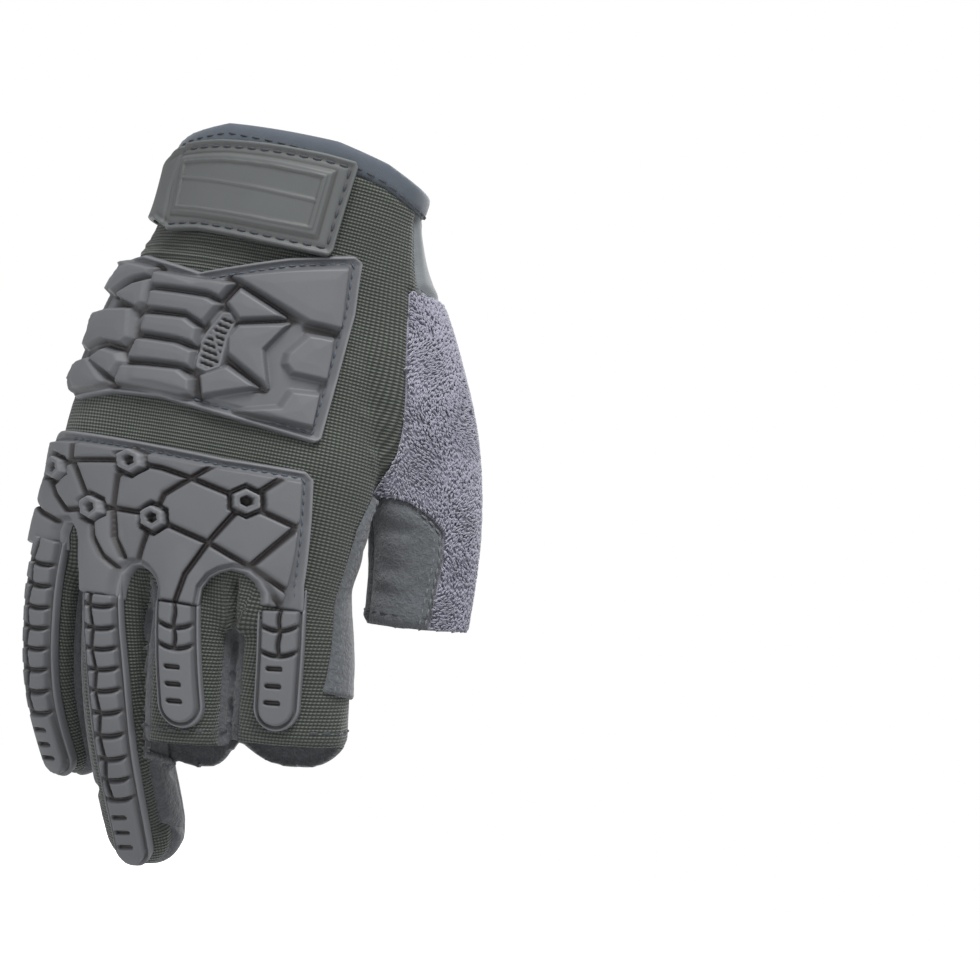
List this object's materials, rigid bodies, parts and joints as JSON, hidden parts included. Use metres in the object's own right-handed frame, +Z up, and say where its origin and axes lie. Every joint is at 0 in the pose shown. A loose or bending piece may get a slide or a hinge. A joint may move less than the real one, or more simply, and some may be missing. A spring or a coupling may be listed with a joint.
{
  "type": "tactical glove",
  "caption": "Right-hand tactical glove with moulded hand and knuckle guards, short open thumb, index and middle fingers, towelling thumb side, padded suede palm and a wrap-round strap.",
  "frame": {"origin": "middle of the wrist opening, where the hand goes in", "axes": "+Z up the forearm and out of the wrist opening, fingers hanging towards -Z; -Y faces the back of the hand, +Y the palm; +X is the thumb side"},
  "size_m": [0.1358, 0.068, 0.224],
  "materials": {
    "knit": "matte ribbed knit",
    "suede": "matte suede",
    "towelling": "looped towelling",
    "stretch": "smooth stretch cloth",
    "guard_rubber": "matte moulded",
    "strap_rubber": "satin moulded",
    "pad_rubber": "semi-gloss moulded"
  },
  "bodies": {
    "root": {"back_panel": "knit", "palm_panel": "suede", "thumb_gusset": "suede", "fourchette_pinky_ring": "suede", "fourchette_ring_middle": "suede", "fourchette_middle_index": "suede", "index_side_strip": "suede", "knuckle_patch": "suede", "terry_panel": "towelling", "cuff_binding": "stretch", "wrist_panel": "stretch", "slit_gusset": "stretch", "metacarpal_guard": "guard_rubber", "knuckle_guard": "guard_rubber", "wrist_strap": "strap_rubber", "palm_pad_ulnar": "pad_rubber", "palm_pad_radial": "pad_rubber"}
  },
  "joints": []
}
